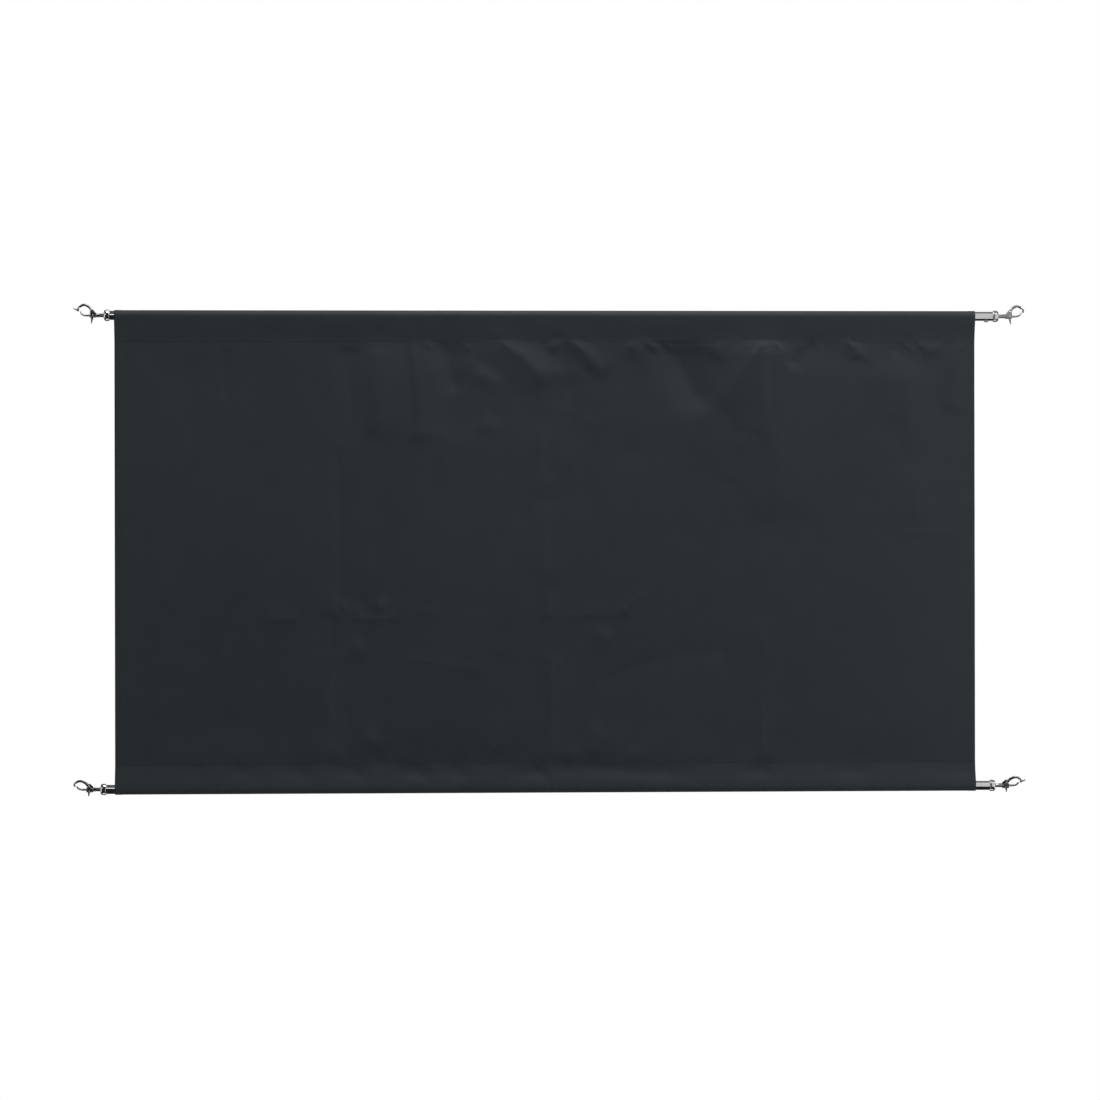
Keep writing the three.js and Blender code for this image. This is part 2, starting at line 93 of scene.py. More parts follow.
# Stitches
STITCH_PITCH = 3.2 * MM
STITCH_LENGTH = 2.5 * MM
STITCH_RADIUS = 0.24 * MM
STITCH_RISE = 0.22 * MM
STITCH_RINGS = 7
STITCH_SIDES = 6
STITCH_END = 0.96
STITCH_THINNEST = 0.02

# Camera: straight on, turned and rolled a little, as the photograph's slightly uneven panel shows
VIEW_CENTRE = Vector((-5.8 * MM, 0, -351.8 * MM))
VIEW_WIDTH = 1.653
VIEW_DISTANCE = 4.5
VIEW_YAW = math.radians(2.1)
VIEW_ROLL = math.radians(-0.1)
SENSOR = 36.0

FLOOR_HEIGHT = -1.3
FLOOR_RADIUS = 1.2
FLOOR_CENTRE = -0.6
FLOOR_SIDES = 96

# Light on the object from all round
EVEN_LIGHT = 0.595

# What metal reflects of the room: the axis of the reflected ray, where on it the glow starts and where it is
# full, and how bright it is before and after. Right of the middle only, the overhead glow starts lower.
BEHIND = ("Y", 0.76, 0.95, 0.015, 1.0)
OVERHEAD_RIGHT = ("Z", 0.7, 0.95, 0.0, 0.3)
RIGHT_SIDE = ("X", 0.02, 0.13, 0.0, 1.0)
OVERHEAD = ("Z", 0.88, 0.97, 0.0, 0.25)
UNDERNEATH = ("Z", -0.955, -0.98, 0.0, 0.9)
FAR_RIGHT = ("X", 0.75, 0.92, 0.0, 0.9)
FAR_LEFT = ("X", -0.75, -0.92, 0.0, 0.9)

# Lamps: name, place, what it points at, width, height and power in watts. The rake is small, so that its
# reflection along the tubes stays narrow.
LAMPS = [
    ("rake", (2.6, -1.4, 2.5), (0, 0, -0.35), 0.2, 0.2, 35),
    ("overhead", (-0.12, -0.3, 1.0), (-0.12, -0.3, 0), 1.4, 0.8, 13),
    ("card", (0.92, -0.5, 0.05), (0.55, 0, 0.05), 0.5, 2.0, 1.95),
    ("glint", (-1.6, -2.2, 0.8), (-0.3, 0, -0.3), 0.9, 0.9, 3),
]


def smoothstep(low, high, value):
    share = np.clip((value - low) / (high - low), 0, 1)
    return share * share * (3 - 2 * share)


def srgb(red, green, blue):
    """A linear colour from 8-bit sRGB values."""
    def linear(value):
        value /= 255
        return value / 12.92 if value <= 0.04045 else ((value + 0.055) / 1.055) ** 2.4
    return (linear(red), linear(green), linear(blue), 1.0)


def mesh_piece(name, points, faces, smooth=True):
    mesh = bpy.data.meshes.new(name)
    mesh.from_pydata(points, [], faces)
    mesh.polygons.foreach_set("use_smooth", [smooth] * len(mesh.polygons))
    mesh.update()
    piece = bpy.data.objects.new(name, mesh)
    bpy.context.scene.collection.objects.link(piece)
    return piece


# Materials

class Shader:
    """A material whose nodes are made one call at a time."""

    def __init__(self, name):
        self.material = bpy.data.materials.new(name)
        self.material.use_nodes = True
        self.tree = self.material.node_tree
        self.surface = self.tree.nodes["Principled BSDF"]

    def node(self, kind, settings=None, **inputs):
        made = self.tree.nodes.new(kind)
        for key, value in (settings or {}).items():
            setattr(made, key, value)
        for key, value in inputs.items():
            name = int(key[1:]) if key[1:].isdigit() else key.replace("_", " ")
            self.feed(made.inputs[name], value)
        return made

    def feed(self, socket, value):
        if isinstance(value, bpy.types.NodeSocket):
            self.tree.links.new(value, socket)
        else:
            socket.default_value = value

    def set(self, **inputs):
        for key, value in inputs.items():
            self.feed(self.surface.inputs[key.replace("_", " ")], value)

    def math(self, operation, first, second=0.0):
        return self.node("ShaderNodeMath", {"operation": operation}, _0=first, _1=second).outputs[0]

    def mix(self, share, first, second):
        made = self.node("ShaderNodeMix", {"data_type": "RGBA"})
        self.feed(made.inputs["Factor"], share)
        self.feed(made.inputs[6], first)
        self.feed(made.inputs[7], second)
        return made.outputs[2]

    def noise(self, vector, scale, detail=3.0, roughness=0.5):
        made = self.node(
            "ShaderNodeTexNoise", None, Vector=vector, Scale=scale, Detail=detail, Roughness=roughness
        )
        return made.outputs["Fac"]

    def spread(self, value, low, high, start=0.0, end=1.0):
        """value from low to high, mapped to start to end and held there outside it."""
        made = self.node(
            "ShaderNodeMapRange", None, Value=value, From_Min=low, From_Max=high, To_Min=start, To_Max=end
        )
        return made.outputs[0]

    def stretched(self, vector, x, y, z):
        made = self.node("ShaderNodeMapping", None, Vector=vector)
        made.inputs["Scale"].default_value = (x, y, z)
        return made.outputs[0]

    def bump(self, height, distance, strength=1.0, under=None):
        made = self.node("ShaderNodeBump", None, Height=height, Distance=distance, Strength=strength)
        if under is not None:
            self.feed(made.inputs["Normal"], under)
        return made.outputs[0]


def canvas_material():
    """Coated plain-weave canvas, lighter where rubbing has worn it and where light is painted on: a painted
    highlight on its creases and along the top sleeve, and painted light over that whole sleeve.
    """
    shader = Shader("canvas")
    uv = shader.node("ShaderNodeUVMap", {"uv_map": "cloth"}).outputs[0]
    place = shader.node("ShaderNodeTexCoord").outputs["Object"]
    axes = shader.node("ShaderNodeSeparateXYZ", None, Vector=uv)
    waves = []
    for axis in range(2):
        turns = shader.math("MULTIPLY", axes.outputs[axis], math.pi / YARN)
        waves.append(shader.math("SINE", turns))
    crossing = shader.math("MULTIPLY", waves[0], waves[1])
    ribs = [shader.math("ABSOLUTE", wave) for wave in waves]
    over = shader.math("GREATER_THAN", crossing, 0.0)
    weave = shader.node("ShaderNodeMix", {"data_type": "FLOAT"}, _0=over, _2=ribs[0], _3=ribs[1]).outputs[0]
    slubs = shader.noise(shader.stretched(uv, 90, 900, 1), 1.0, 2.0)
    broad = shader.noise(place, 5.0, 3.0)
    mottle = shader.noise(place, 34.0, 4.0)
    fine = shader.noise(place, 900.0, 2.0)
    wear_and_light = shader.node("ShaderNodeAttribute", {"attribute_name": "wear_and_light"}).outputs["Fac"]
    tone = shader.mix(shader.spread(broad, 0.3, 0.7), srgb(33, 41.5, 46), srgb(35, 43.5, 48))
    tone = shader.mix(shader.spread(mottle, 0.35, 0.75, 0.0, 0.4), tone, srgb(37.5, 46.5, 51))
    tone = shader.mix(shader.spread(weave, 0.0, 1.0, 0.35, 0.0), tone, srgb(24, 30, 34))
    tone = shader.mix(shader.spread(slubs, 0.55, 0.8, 0.0, 0.25), tone, srgb(50, 58, 62))
    # The lighter colour for rubbing, painted highlight and painted light, read from the mesh's attribute
    wear_and_painted_light = shader.math("MULTIPLY", wear_and_light, shader.spread(fine, 0.3, 0.7, 0.08, 0.16))
    tone = shader.mix(wear_and_painted_light, tone, srgb(64, 71, 76))
    shader.set(Base_Color=tone, Roughness=shader.spread(mottle, 0.3, 0.7, 0.6, 0.7))
    shader.set(Specular_IOR_Level=0.3, Sheen_Weight=0.03, Sheen_Roughness=0.5)
    crumple = shader.bump(mottle, CRUMPLE_DEPTH, 0.3)
    shader.set(Normal=shader.bump(weave, WEAVE_DEPTH, 0.8, crumple))
    return shader.material


def thread_material():
    """Bonded polyester thread with its twist."""
    shader = Shader("thread")
    place = shader.node("ShaderNodeTexCoord").outputs["Object"]
    twist = shader.node(
        "ShaderNodeTexWave", {"bands_direction": "DIAGONAL"}, Vector=place, Scale=900.0, Distortion=1.0
    ).outputs["Fac"]
    patches = shader.noise(place, 60.0)
    tone = shader.mix(shader.spread(patches, 0.3, 0.7), srgb(31, 37, 41), srgb(42, 48, 52))
    shader.set(Base_Color=tone, Roughness=shader.spread(twist, 0.0, 1.0, 0.45, 0.65), Specular_IOR_Level=0.5)
    shader.set(Normal=shader.bump(twist, 0.05 * MM))
    return shader.material


def metal_material(name, pale, worn, roughness, grain, grain_depth):
    """Plated steel: grain is the stretch of its drawing or polishing marks along X, Y and Z."""
    shader = Shader(name)
    place = shader.node("ShaderNodeTexCoord").outputs["Object"]
    marks = shader.noise(shader.stretched(place, *grain), 1.0, 4.0, 0.6)
    haze = shader.noise(place, 120.0, 3.0)
    specks = shader.noise(place, 1400.0, 2.0)
    tone = shader.mix(shader.spread(haze, 0.35, 0.75), pale, worn)
    tone = shader.mix(shader.spread(specks, 0.66, 0.76, 0.0, 0.5), tone, srgb(120, 116, 110))
    low, high = roughness
    hazed = shader.spread(haze, 0.3, 0.7, low, high)
    marked = shader.spread(marks, 0.3, 0.7, 0.0, (high - low) * 0.8)
    shader.set(Base_Color=tone, Metallic=1.0, Roughness=shader.math("ADD", hazed, marked))
    shader.set(Normal=shader.bump(marks, grain_depth, 0.5))
    return shader.material


CANVAS = canvas_material()
THREAD = thread_material()
POLE_STEEL = metal_material(
    "pole_steel", srgb(236, 237, 238), srgb(220, 221, 223), (0.025, 0.05), (60, 2600, 2600), 0.01 * MM
)
CHROME = metal_material(
    "chrome", srgb(238, 239, 240), srgb(222, 223, 225), (0.035, 0.11), (500, 500, 500), 0.01 * MM
)
HOOK_STEEL = metal_material(
    "hook_steel", srgb(168, 169, 170), srgb(150, 151, 153), (0.06, 0.15), (500, 500, 500), 0.01 * MM
)
SPRING_STEEL = metal_material(
    "spring_steel", srgb(176, 178, 182), srgb(150, 152, 156), (0.2, 0.32), (2200, 2200, 2200), 0.01 * MM
)


def dress(piece, body, material):
    """Gives a new piece its material and the body it rides on."""
    piece.data.materials.clear()
    piece.data.materials.append(material)
    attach(piece, body)


def repaint(node, material):
    """Gives a CAD node that stays a better material."""
    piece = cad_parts[node]
    for slot in piece.material_slots:
        slot.material = material
    return piece


# Canvas. x is measured along the panel from its middle, drop down from the top pole's axis, both in metres.

# Folds and puckers: the points that each one runs through, how far it stands to the front (less than 0 is a
# valley), and how wide its two sides are: the left one or the lower one, then the right one or the upper one.
# All are millimetres.
CREASES = [
    ([(-298, 24), (-300, 206)], -1.8, 26, 52),
    ([(-317, 190), (-316, 360), (-312, 452)], -1.3, 22, 34),
    ([(-327, 440), (-327, 512)], -1.6, 26, 24),
    ([(-324, 496), (-323, 700)], 1.6, 90, 22),
    ([(24, 28), (22, 92)], -1.7, 40, 16),
    ([(34, 84), (32, 150)], -1.5, 46, 34),
    ([(-6, 146), (-4, 282)], 1.6, 60, 54),
    ([(-1, 270), (0, 420)], 1.1, 34, 60),
    ([(2, 408), (3, 460)], 1.3, 14, 16),
    ([(9, 500), (8, 684)], 1.6, 20, 34),
    ([(328, 14), (330, 100), (334, 214)], 1.7, 80, 9),
    ([(323, 240), (322, 400)], 0.7, 26, 22),
    ([(326, 452), (328, 520)], 1.0, 34, 18),
    ([(322, 540), (330, 672)], 0.8, 22, 20),
    ([(-489, 40), (-482, 130)], -0.9, 10, 26),
    ([(-427, 454), (-370, 453)], 1.0, 12, 18),
    ([(-326, 453), (-214, 454)], 0.55, 9, 22),
    ([(-312, 424), (-296, 450)], 1.1, 9, 16),
    ([(-282, 420), (-270, 452)], -0.9, 10, 12),
    ([(-262, 424), (-240, 446)], 1.4, 16, 18),
    ([(-196, 444), (-160, 448)], 0.9, 12, 14),
    ([(14, 450), (84, 447), (134, 448)], 0.9, 12, 30),
    ([(110, 448), (146, 410)], 1.0, 14, 12),
    ([(-218, 512), (-158, 520), (-96, 532)], 0.45, 16, 12),
    ([(70, 556), (140, 530), (200, 514), (284, 506)], -0.8, 26, 34),
    ([(-300, 486), (-268, 508)], 1.9, 34, 15),
    ([(-280, 620), (-244, 650)], 2.0, 36, 17),
    ([(70, 468), (104, 496)], 1.7, 36, 20),
    ([(40, 604), (112, 652)], 1.8, 66, 34),
    ([(456, 548), (508, 542)], 0.4, 14, 16),
    ([(520, 322), (622, 326)], 0.35, 14, 18),
    ([(46, 160), (112, 157)], 0.5, 12, 16),
    ([(274, 172), (326, 184)], -0.8, 14, 14),
    ([(258, 252), (292, 256)], -0.35, 12, 12),
    ([(-214, 176), (-150, 178)], 0.5, 12, 16),
]
PUCKERS = [
    ([(-222, -6), (-200, 50), (-192, 134), (-196, 206)], 1.2, 7, 58),
    ([(-257, 26), (-255, 196)], 1.5, 32, 56),
    ([(-168, 24), (-150, 56), (-134, 120)], -1.9, 26, 34),
    ([(-140, 70), (-142, 200)], -1.3, 50, 70),
    ([(-112, 84), (-68, 106)], 0.9, 20, 16),
    ([(-104, 156), (-66, 178)], 0.7, 18, 16),
    ([(-100, 8), (-36, 62), (6, 108)], 3.0, 42, 34),
    ([(28, 24), (60, 58), (92, 92)], 2.0, 16, 26),
    ([(120, 30), (150, 60)], 1.4, 24, 18),
    ([(150, 4), (198, 66), (244, 150)], -3.4, 42, 56),
    ([(286, 24), (244, 62)], 1.6, 14, 26),
    ([(344, 18), (296, 82), (250, 140)], 2.5, 40, 50),
    ([(340, 0), (344, 130), (352, 320)], 2.2, 70, 84),
    ([(402, 30), (366, 80)], -1.5, 16, 20),
    ([(446, 28), (472, 66)], 1.5, 16, 16),
    ([(500, 26), (470, 70)], 1.2, 14, 18),
    ([(548, 26), (520, 60)], -1.2, 16, 18),
    ([(560, 24), (592, 62)], 1.7, 20, 22),
    ([(618, 26), (612, 150)], 1.1, 24, 26),
    ([(510, 140), (560, 250)], -1.2, 46, 50),
    ([(538, 60), (556, 330)], 1.5, 60, 50),
    ([(160, 2), (182, 34)], 1.6, 12, 12),
    ([(12, 0), (24, 34)], 1.4, 10, 12),
    ([(-132, 4), (-118, 32)], 0.9, 12, 12),
    ([(44, 4), (58, 32)], 1.2, 12, 12),
    ([(322, 6), (338, 36)], 1.4, 12, 12),
    ([(216, 8), (232, 36)], 1.0, 12, 12),
    ([(402, 6), (414, 34)], 1.1, 12, 12),
    ([(-476, 662), (-424, 716)], -1.8, 36, 24),
    ([(-534, 664), (-512, 714)], -1.2, 34, 20),
    ([(-394, 662), (-352, 716)], -2.0, 50, 26),
    ([(-310, 660), (-266, 716)], -2.4, 44, 22),
    ([(-214, 660), (-172, 716)], -3.4, 66, 20),
    ([(-148, 660), (-118, 714)], -2.4, 36, 22),
    ([(-30, 660), (4, 716)], -3.4, 92, 16),
    ([(18, 662), (42, 712)], -1.6, 22, 18),
    ([(34, 672), (150, 690), (232, 706)], -2.6, 26, 30),
    ([(150, 664), (196, 690)], -2.0, 30, 44),
    ([(310, 662), (340, 716)], -2.6, 76, 26),
    ([(440, 660), (486, 716)], -2.6, 90, 30),
    ([(604, 660), (644, 716)], -1.8, 80, 24),
    ([(-322, 650), (-300, 676)], 1.2, 14, 14),
    ([(-262, 654), (-246, 678)], -1.2, 12, 14),
    ([(-224, 656), (-200, 670)], 1.0, 14, 14),
    ([(-96, 652), (-56, 640)], 0.9, 18, 18),
    ([(26, 664), (90, 656)], 1.3, 12, 16),
    ([(112, 662), (152, 664)], 1.0, 12, 14),
    ([(462, 652), (478, 674)], -1.0, 16, 16),
]

# Gathers under the top seam: where each stands along the panel, its half width, how far it stands out and how
# much it leans
GATHERS = [
    (-178, 8, 1.7, 0.5), (-123, 6, 1.4, 0.6), (-62, 7, 1.5, 0.7), (12, 9, 2.6, -0.5), (46, 7, 1.9, 0.7),
    (84, 6, 1.2, 0.4), (128, 7, 1.1, -0.5), (158, 8, 3.0, 0.8), (184, 6, 1.6, 0.7), (235, 7, 1.3, -0.7),
    (302, 7, 1.6, -0.8), (326, 9, 3.2, -0.4), (347, 6, 2.0, 0.6), (386, 7, 1.2, -0.8), (408, 5, 0.9, 0.5),
    (460, 7, 2.0, 0.9), (470, 5, 1.2, -0.9), (520, 5, 0.9, 0.5), (545, 7, 1.8, 0.8), (566, 7, 2.0, 0.7),
    (590, 6, 1.5, -0.8), (628, 7, 1.3, -0.5), (-300, 16, 0.7, 0.3), (-404, 20, 0.5, 0.3),
    (-560, 22, 0.5, 0.3),
]
GATHER_DROP = 6
GATHER_REACH = 7

# Soft dents and swells: place, radius and how far they stand to the front, in millimetres
SWELLS = [
    (-83, 411, 21, 0.9), (112, 396, 21, 0.8), (-263, 381, 21, 1.0), (30, 216, 21, 1.0), (127, 201, 23, -1.6),
    (62, 110, 48, 1.2), (255, 190, 38, 0.9), (-140, 260, 48, -0.8), (230, 70, 24, -1.0), (400, 340, 60, -0.8),
    (190, 620, 60, 0.8), (-60, 620, 40, 0.6), (-480, 300, 90, 0.6),
]

PANEL_SWAY = 3 * MM
RIGHT_FOLD_X = 0.334
MIDDLE_FOLD_X = 0.005
EDGE_FADE = 60 * MM
CREASE_GAIN = 1.5
TOP_PUCKER_GAIN = 1.95
BOTTOM_PUCKER_GAIN = 1.25
CREASE_ROUND = 1.5 * MM
PUCKER_ROUND = 4 * MM
FOLD_EASE = 1.4
FOLD_END_SHARE = 0.7
MOST_FOLD_END = 0.42
SIDE_CURL = 1.2 * MM
SIDE_CURL_REACH = 22 * MM

# Puckers change from the top gain to the bottom one between these drops
PUCKER_CHANGE = (0.3, 0.6)

# What is left of the relief at a seam, how far from it the rest comes back, and its share in the sleeve
SEAM_SHARE = 0.45
SEAM_HOLD_REACH = 18 * MM
SLEEVE_SHARE = 0.3

# Undulation: how long the waves are, how high, the seed of their draw and how far they are drawn out
BROAD_RIPPLES = (0.22, 0.5 * MM, 1, 1.4)
MIDDLE_RIPPLES = (0.075, 0.13 * MM, 2, 1.3)
FINE_RIPPLES = (0.026, 0.022 * MM, 3)
BACK_RIPPLES = (0.06, 0.35 * MM, 6)
# The next waves make the painted highlight over the top pole uneven
POLE_HIGHLIGHT_RIPPLES = (0.12, 1.0, 7)
CREASE_WAVE = 0.09
CREASE_SEED = 40
UNEVEN = 0.15
RIPPLE_COUNT = 22

# The panel is calmer on its left, and on its right further down
CALM_SHARE = 0.3
LIVELY_FROM = (-0.35, 0.1)
CALMER_BELOW = (0.2, 0.35)

# Lighter colour: rubbing and a painted highlight on creases, rubbing at the hems, painted light lifting the
# whole top sleeve, and a painted highlight along the sleeve's top over its pole, weaker on the left
CREASE_WEAR_AND_HIGHLIGHT_START = 0.8
CREASE_WEAR_AND_HIGHLIGHT_GAIN = 2.5
HEM_WEAR = 0.18
HEM_WEAR_SHARE = 0.35
BAND_PAINTED_LIGHT = 0.45
POLE_HIGHLIGHT_RISE = (-0.2, 0.8)
POLE_HIGHLIGHT_LEFT = 0.3
POLE_HIGHLIGHT_GAIN = 1.7
POLE_HIGHLIGHT_FROM = (-0.32, -0.08)
POLE_HIGHLIGHT_FADE = (0.3, 0.6)
MOST_WEAR_AND_LIGHT = 2.5


def ripples(x, drop, size, height, seed, stretch=1.0):
    """Smooth undulation whose waves are about size long, drawn out by stretch along drop."""
    random = np.random.default_rng(seed)
    total = np.zeros(np.broadcast(x, drop).shape)
    for _ in range(RIPPLE_COUNT):
        turn = random.uniform(0, math.pi)
        wave = 2 * math.pi / (size * random.uniform(0.7, 1.6))
        phase = random.uniform(0, 2 * math.pi)
        total += np.cos(wave * (x * math.cos(turn) + drop * math.sin(turn) / stretch) + phase)
    return total * height / math.sqrt(RIPPLE_COUNT / 2)


def fold(x, drop, points, low_side, high_side, rounding):
    """A fold through points: 1 on its crest and 0 at low_side and high_side from it.

    These are its left and right sides, or the lower and upper ones of a fold that lies level. Its crest is
    rounded, and it runs out at both ends."""
    nearest = np.full(np.broadcast(x, drop).shape, np.inf)
    side = np.zeros_like(nearest)
    along = np.zeros_like(nearest)
    run = 0.0
    for (ax, ad), (bx, bd) in zip(points, points[1:]):
        length = math.dist((ax, ad), (bx, bd))
        share = ((x - ax) * (bx - ax) + (drop - ad) * (bd - ad)) / length**2
        held = np.clip(share, 0, 1)
        distance = np.hypot(x - ax - held * (bx - ax), drop - ad - held * (bd - ad))
        closer = distance < nearest
        nearest = np.where(closer, distance, nearest)
        side = np.where(closer, (bd - ad) * (x - ax) - (bx - ax) * (drop - ad), side)
        along = np.where(closer, run + held * length, along)
        run += length
    width = np.where(side > 0, high_side, low_side)
    away = (np.hypot(nearest, rounding) - rounding) / width
    reach = min(FOLD_END_SHARE * max(low_side, high_side), run * MOST_FOLD_END)
    ends = smoothstep(0, reach, along) * smoothstep(0, reach, run - along)
    return np.clip(1 - away, 0, 1) ** FOLD_EASE * ends


def in_metres(entry):
    points, height, low_side, high_side = entry
    return [(px * MM, pd * MM) for px, pd in points], height * MM, low_side * MM, high_side * MM


def folded(x, drop):
    """Creases left by storage and puckers of the seams, and how much lighter the cloth is painted on the
    creases, for rubbing and a painted highlight.
    """
    standing = np.zeros(np.broadcast(x, drop).shape)
    wear_and_painted_light = np.zeros_like(standing)
    for number, entry in enumerate(CREASES):
        points, height, low_side, high_side = in_metres(entry)
        sides = fold(x, drop, points, low_side, high_side, CREASE_ROUND)
        uneven = 1 - UNEVEN + UNEVEN * ripples(x, drop, CREASE_WAVE, 1.0, CREASE_SEED + number)
        standing += CREASE_GAIN * height * sides * uneven
        # Crease lines are coloured lighter: rubbing, and a painted highlight along each fold
        wear_and_painted_light += np.clip(sides - CREASE_WEAR_AND_HIGHLIGHT_START, 0, 1) * CREASE_WEAR_AND_HIGHLIGHT_GAIN * uneven
    pucker_gain = np.interp(drop, PUCKER_CHANGE, (TOP_PUCKER_GAIN, BOTTOM_PUCKER_GAIN))
    for entry in PUCKERS:
        points, height, low_side, high_side = in_metres(entry)
        standing += pucker_gain * height * fold(x, drop, points, low_side, high_side, PUCKER_ROUND)
    return standing, wear_and_painted_light


def seam_gathers(x, below):
    """The cloth's small bulges just under the top seam, at below 0."""
    standing = np.zeros(np.broadcast(x, below).shape)
    for place, half_width, height, lean in GATHERS:
        across = (x - place * MM - lean * (below - GATHER_DROP * MM)) / (half_width * MM)
        down = (below - GATHER_DROP * MM) / (GATHER_REACH * MM)
        standing += height * MM * np.exp(-(across**2) - down**2)
    return standing


def relief(x, drop):
    """How far the panel stands to the front, and how much lighter its creases are painted, for rubbing and a
    painted highlight.
    """
    edge = (PANEL_HIGH.x - PANEL_LOW.x) / 2
    top, bottom = -TOP_SEAM, -BOTTOM_SEAM
    from_top = smoothstep(top, top + EDGE_FADE, drop)
    from_bottom = 1 - smoothstep(bottom - EDGE_FADE, bottom, drop)
    from_side = 1 - smoothstep(edge - 2 * EDGE_FADE, edge - HEM, np.abs(x))
    middle = from_top * from_bottom
    from_seam = np.minimum(np.abs(drop - top), np.abs(drop - bottom)) / SEAM_HOLD_REACH
    near_seam = SEAM_SHARE + (1 - SEAM_SHARE) * np.clip(from_seam, 0, 1)
    near_seam = np.where(drop < top, SLEEVE_SHARE, near_seam)
    sway = -PANEL_SWAY * np.sin(math.pi * (x - MIDDLE_FOLD_X) / (RIGHT_FOLD_X - MIDDLE_FOLD_X))
    standing = sway * middle * from_side
    lines, wear_and_painted_light = folded(x, drop)
    standing += lines * near_seam
    for swell_x, swell_drop, radius, height in SWELLS:
        away = np.hypot(x - swell_x * MM, drop - swell_drop * MM) / (radius * MM)
        standing += height * MM * np.exp(-(away**2)) * near_seam
    calming = 1 - 0.5 * smoothstep(*CALMER_BELOW, drop)
    lively = CALM_SHARE + (1 - CALM_SHARE) * smoothstep(*LIVELY_FROM, x) * calming
    standing += ripples(x, drop, *BROAD_RIPPLES) * middle * (0.3 + 0.7 * from_side) * lively
    standing += ripples(x, drop, *MIDDLE_RIPPLES) * (0.2 + 0.8 * middle) * lively
    standing += ripples(x, drop, *FINE_RIPPLES) * lively
    standing += seam_gathers(x, drop - top)
    standing += SIDE_CURL * (np.exp(-(x + edge) / SIDE_CURL_REACH) - np.exp(-(edge - x) / SIDE_CURL_REACH))
    return standing, wear_and_painted_light


def cloth_rows():
    """The cloth's own line seen from the side, from one flap's end over both poles to the other's.

    Each row is (depth, height, front), where front is 1 on the layers that face the front and 0 behind."""
    rows = []

    def line(start, end, front):
        count = max(2, round((end - start).length / ROW_STEP))
        rows.extend((*start.lerp(end, k / count), front) for k in range(count))

    def slope(start, end, bow):
        """The front layer between a pole and a seam: a line bowed so that it leans most halfway."""
        count = max(2, round((end - start).length / ROW_STEP * 2))
        for k in range(count):
            share = k / count
            leant = (1 - bow) * share + bow * share * share * (3 - 2 * share)
            rows.append((start.x + leant * (end.x - start.x), start.y + share * (end.y - start.y), 1))

    def turn(axis, up, backward):
        """Round a pole from where the cloth touches its back to where it leaves its front, or backward."""
        seam_distance = abs((TOP_SEAM if up > 0 else BOTTOM_SEAM) - axis)
        slip = math.asin(SLEEVE_RADIUS / seam_distance)
        room = 0 if up > 0 else RIVET_ROOM
        points = []
        for k in range(TURN_ROWS + 1):
            angle = -slip + (math.pi + 2 * slip) * k / TURN_ROWS
            depth = (SLEEVE_RADIUS + (room if math.cos(angle) > 0 else 0)) * math.cos(angle)
            points.append(Vector((depth, axis + up * SLEEVE_RADIUS * math.sin(angle))))
        return points[::-1] if backward else points

    over = turn(0, 1, False)
    under = turn(BOTTOM_AXIS, -1, True)
    line(Vector((LAYER_DEPTH, TOP_SEAM - FLAP)), Vector((LAYER_DEPTH, TOP_SEAM)), 0)
    line(Vector((LAYER_DEPTH, TOP_SEAM)), over[0], 0)
    rows.extend((*point, 1 if point.x < 0 else 0) for point in over[:-1])
    slope(over[-1], Vector((-LAYER_DEPTH, TOP_SEAM)), TOP_BOW)
    line(Vector((-LAYER_DEPTH, TOP_SEAM)), Vector((-LAYER_DEPTH, BOTTOM_SEAM)), 1)
    slope(Vector((-LAYER_DEPTH, BOTTOM_SEAM)), under[0], BOTTOM_BOW)
    rows.extend((*point, 1 if point.x < 0 else 0) for point in under[:-1])
    line(under[-1], Vector((LAYER_DEPTH, BOTTOM_SEAM)), 0)
    line(Vector((LAYER_DEPTH, BOTTOM_SEAM)), Vector((LAYER_DEPTH, BOTTOM_SEAM + FLAP)), 0)
    rows.append((LAYER_DEPTH, BOTTOM_SEAM + FLAP, 0))
    return np.array(rows)


def sleeve_hold(height):
    """0 where the cloth lies on a pole, 1 at the seams and between them."""
    top_share = height / TOP_SEAM
    bottom_share = (height - BOTTOM_AXIS) / (BOTTOM_SEAM - BOTTOM_AXIS)
    return smoothstep(*SLEEVE_FREE, top_share) * smoothstep(*SLEEVE_FREE, bottom_share)


def front_depth(x, height):
    """Where the front layer's middle lies at a place on the panel."""
    standing, _ = relief(x - PANEL_MIDDLE, -height)
    return -LAYER_DEPTH - standing * sleeve_hold(height)


